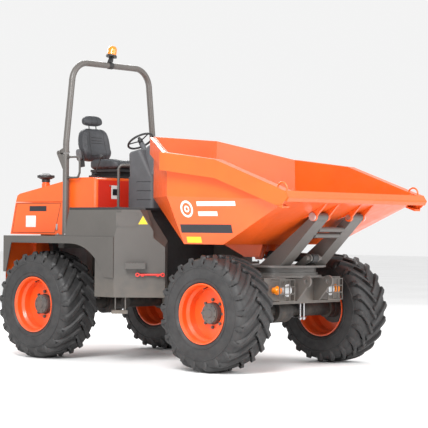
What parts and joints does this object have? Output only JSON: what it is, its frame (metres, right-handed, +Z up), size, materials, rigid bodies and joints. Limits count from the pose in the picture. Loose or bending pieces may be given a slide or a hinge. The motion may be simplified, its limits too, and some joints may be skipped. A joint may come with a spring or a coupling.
{
  "type": "power wheelbarrow",
  "caption": "Articulated ride-on site dumper with a swivelling front-tipping skip, four lugged tyres, an open operator's station and a folding roll hoop.",
  "frame": {"origin": "on the ground, at the middle of the overall length, on the centreline", "axes": "+X forward to the skip's lip, +Y to the machine's left, +Z up"},
  "size_m": [4.598, 2.372, 3.5193],
  "materials": {
    "orange_paint": "satin enamel",
    "red_paint": "satin enamel",
    "frame_grey": "satin enamel",
    "panel_grey": "satin enamel",
    "console_plastic": "moulded",
    "black_plastic": "moulded",
    "black_rubber": "matt",
    "seat_cover": "vinyl cover",
    "armrest_pad": "foam skin",
    "tyre_rubber": "matt",
    "rim_orange": "satin enamel",
    "hub_grey": "painted casting",
    "axle_black": "painted casting",
    "engine_metal": "cast",
    "bright_steel": "machined",
    "chrome_rod": "hard chrome",
    "lamp_glass": "clear lens",
    "amber_lens": "amber lens"
  },
  "bodies": {
    "rear_unit": {"rear_frame": "frame_grey", "rear_axle": "axle_black", "counterweight": "orange_paint", "fenders": "frame_grey", "side_box_right": "frame_grey", "side_box_left": "frame_grey", "steps": "frame_grey", "platform": "black_plastic", "engine_enclosure": "orange_paint", "seat_base": "orange_paint", "engine": "engine_metal", "rops_posts": "panel_grey", "grab_rails": "frame_grey", "access_cover": "frame_grey", "lock_bar": "red_paint", "console": "console_plastic", "seat_suspension": "black_plastic"},
    "hoop": {"rops_hoop": "panel_grey", "beacon_bracket": "black_plastic", "beacon_lens": "amber_lens"},
    "bonnet_lid": {"bonnet": "orange_paint", "intake_pipe": "orange_paint", "precleaner": "black_plastic"},
    "hand_wheel": {"steering_wheel": "black_plastic"},
    "seat_slide": {"seat_cushion": "seat_cover"},
    "backrest": {"seat_back": "seat_cover", "headrest": "seat_cover"},
    "armrest_pad": {"armrest": "armrest_pad"},
    "lever": {"control_lever": "black_plastic"},
    "accelerator": {"accelerator_pedal": "black_rubber"},
    "brake": {"brake_pedal": "black_rubber"},
    "yoke": {"centre_yoke": "frame_grey"},
    "front_unit": {"front_frame": "panel_grey", "front_axle": "axle_black", "lamp_guards": "frame_grey", "headlamps": "lamp_glass", "indicators": "amber_lens", "axle_bolts": "bright_steel"},
    "slew_table": {"turntable": "panel_grey", "lift_frame": "panel_grey", "hinge_pins": "bright_steel"},
    "tip_ram_barrel": {"tip_barrel": "axle_black"},
    "tip_ram_rod": {"tip_rod": "chrome_rod"},
    "steer_ram_barrel": {"steer_barrel": "axle_black"},
    "steer_ram_rod": {"steer_rod": "chrome_rod"},
    "skip": {"skip_tub": "orange_paint", "skip_rim": "orange_paint", "hinge_brackets": "orange_paint"},
    "wheel_front_right": {"tyre_front_right": "tyre_rubber", "rim_front_right": "rim_orange", "hub_front_right": "hub_grey"},
    "wheel_front_left": {"tyre_front_left": "tyre_rubber", "rim_front_left": "rim_orange", "hub_front_left": "hub_grey"},
    "wheel_rear_right": {"tyre_rear_right": "tyre_rubber", "rim_rear_right": "rim_orange", "hub_rear_right": "hub_grey"},
    "wheel_rear_left": {"tyre_rear_left": "tyre_rubber", "rim_rear_left": "rim_orange", "hub_rear_left": "hub_grey"}
  },
  "joints": [
    {"name": "hoop_fold", "type": "hinge", "parent": "rear_unit", "child": "hoop", "pos_m": [-1.39, 0, 2.262], "axis": [0, -1, 0], "range_deg": [0, 90]},
    {"name": "bonnet_hinge", "type": "hinge", "parent": "rear_unit", "child": "bonnet_lid", "pos_m": [-1.365, 0, 1.95], "axis": [0, 1, 0], "range_deg": [0, 30]},
    {"name": "steering_wheel_turn", "type": "hinge", "parent": "rear_unit", "child": "hand_wheel", "pos_m": [-0.812, 0, 2.41], "axis": [-0.5446, 0, 0.8387], "continuous": true},
    {"name": "seat_slide_rail", "type": "slide", "parent": "rear_unit", "child": "seat_slide", "axis": [1, 0, 0], "range_m": [-0.08, 0.08]},
    {"name": "backrest_recline", "type": "hinge", "parent": "seat_slide", "child": "backrest", "pos_m": [-1.495, 0, 2.162], "axis": [0, 1, 0], "range_deg": [-20, 10]},
    {"name": "armrest_fold", "type": "hinge", "parent": "backrest", "child": "armrest_pad", "pos_m": [-1.54296, -0.27, 2.21585], "axis": [0, 1, 0], "range_deg": [-20, 20]},
    {"name": "lever_tilt", "type": "hinge", "parent": "rear_unit", "child": "lever", "pos_m": [-1.18, -0.35, 2.033], "axis": [0, 1, 0], "range_deg": [-20, 20], "stiffness_Nm_per_rad": 12},
    {"name": "accelerator_press", "type": "hinge", "parent": "rear_unit", "child": "accelerator", "pos_m": [-0.4753, -0.12, 1.673], "axis": [0, 1, 0], "range_deg": [0, 18], "stiffness_Nm_per_rad": 10, "springref_deg": -20.05},
    {"name": "brake_press", "type": "hinge", "parent": "rear_unit", "child": "brake", "pos_m": [-0.4753, 0.06, 1.673], "axis": [0, 1, 0], "range_deg": [0, 18], "stiffness_Nm_per_rad": 10, "springref_deg": -20.05},
    {"name": "oscillation", "type": "hinge", "parent": "rear_unit", "child": "yoke", "pos_m": [0.055, 0, 0.7], "axis": [1, 0, 0], "range_deg": [-8, 8]},
    {"name": "articulation", "type": "hinge", "parent": "yoke", "child": "front_unit", "pos_m": [0.315, 0, 0.7], "axis": [0, 0, 1], "range_deg": [-18, 18]},
    {"name": "skip_swivel", "type": "hinge", "parent": "front_unit", "child": "slew_table", "pos_m": [1.215, 0, 1], "axis": [0, 0, 1], "range_deg": [-75, 75]},
    {"name": "skip_tip", "type": "hinge", "parent": "slew_table", "child": "skip", "pos_m": [2.005, 0, 1.555], "axis": [0, 1, 0], "range_deg": [0, 55]},
    {"name": "tip_barrel_swing", "type": "hinge", "parent": "slew_table", "child": "tip_ram_barrel", "pos_m": [1.685, 0, 1.135], "axis": [0, 1, 0], "range_deg": [0, 66]},
    {"name": "tip_ram_stroke", "type": "slide", "parent": "tip_ram_barrel", "child": "tip_ram_rod", "axis": [-0.9993, 0, 0.0379], "range_m": [0, 0.53]},
    {"name": "steer_barrel_swing", "type": "hinge", "parent": "yoke", "child": "steer_ram_barrel", "pos_m": [0.105, -0.26, 0.7], "axis": [0, 0, 1], "range_deg": [-8.5, 8.5]},
    {"name": "steer_ram_stroke", "type": "slide", "parent": "steer_ram_barrel", "child": "steer_ram_rod", "axis": [0.9737, 0.2279, 0], "range_m": [-0.066, 0.066]},
    {"name": "wheel_front_right_spin", "type": "hinge", "parent": "front_unit", "child": "wheel_front_right", "pos_m": [1.215, -0.941, 0.585], "axis": [0, 1, 0], "continuous": true},
    {"name": "wheel_front_left_spin", "type": "hinge", "parent": "front_unit", "child": "wheel_front_left", "pos_m": [1.215, 0.941, 0.585], "axis": [0, 1, 0], "continuous": true},
    {"name": "wheel_rear_right_spin", "type": "hinge", "parent": "rear_unit", "child": "wheel_rear_right", "pos_m": [-1.285, -0.941, 0.585], "axis": [0, 1, 0], "continuous": true},
    {"name": "wheel_rear_left_spin", "type": "hinge", "parent": "rear_unit", "child": "wheel_rear_left", "pos_m": [-1.285, 0.941, 0.585], "axis": [0, 1, 0], "continuous": true}
  ],
  "couplings": [
    {"joint": "tip_barrel_swing", "follows": "skip_tip", "ratio": 1.0883},
    {"joint": "tip_ram_stroke", "follows": "skip_tip", "m_per_rad": 0.5175},
    {"joint": "steer_barrel_swing", "follows": "articulation", "ratio": 0.45},
    {"joint": "steer_ram_stroke", "follows": "articulation", "m_per_rad": 0.2028}
  ]
}
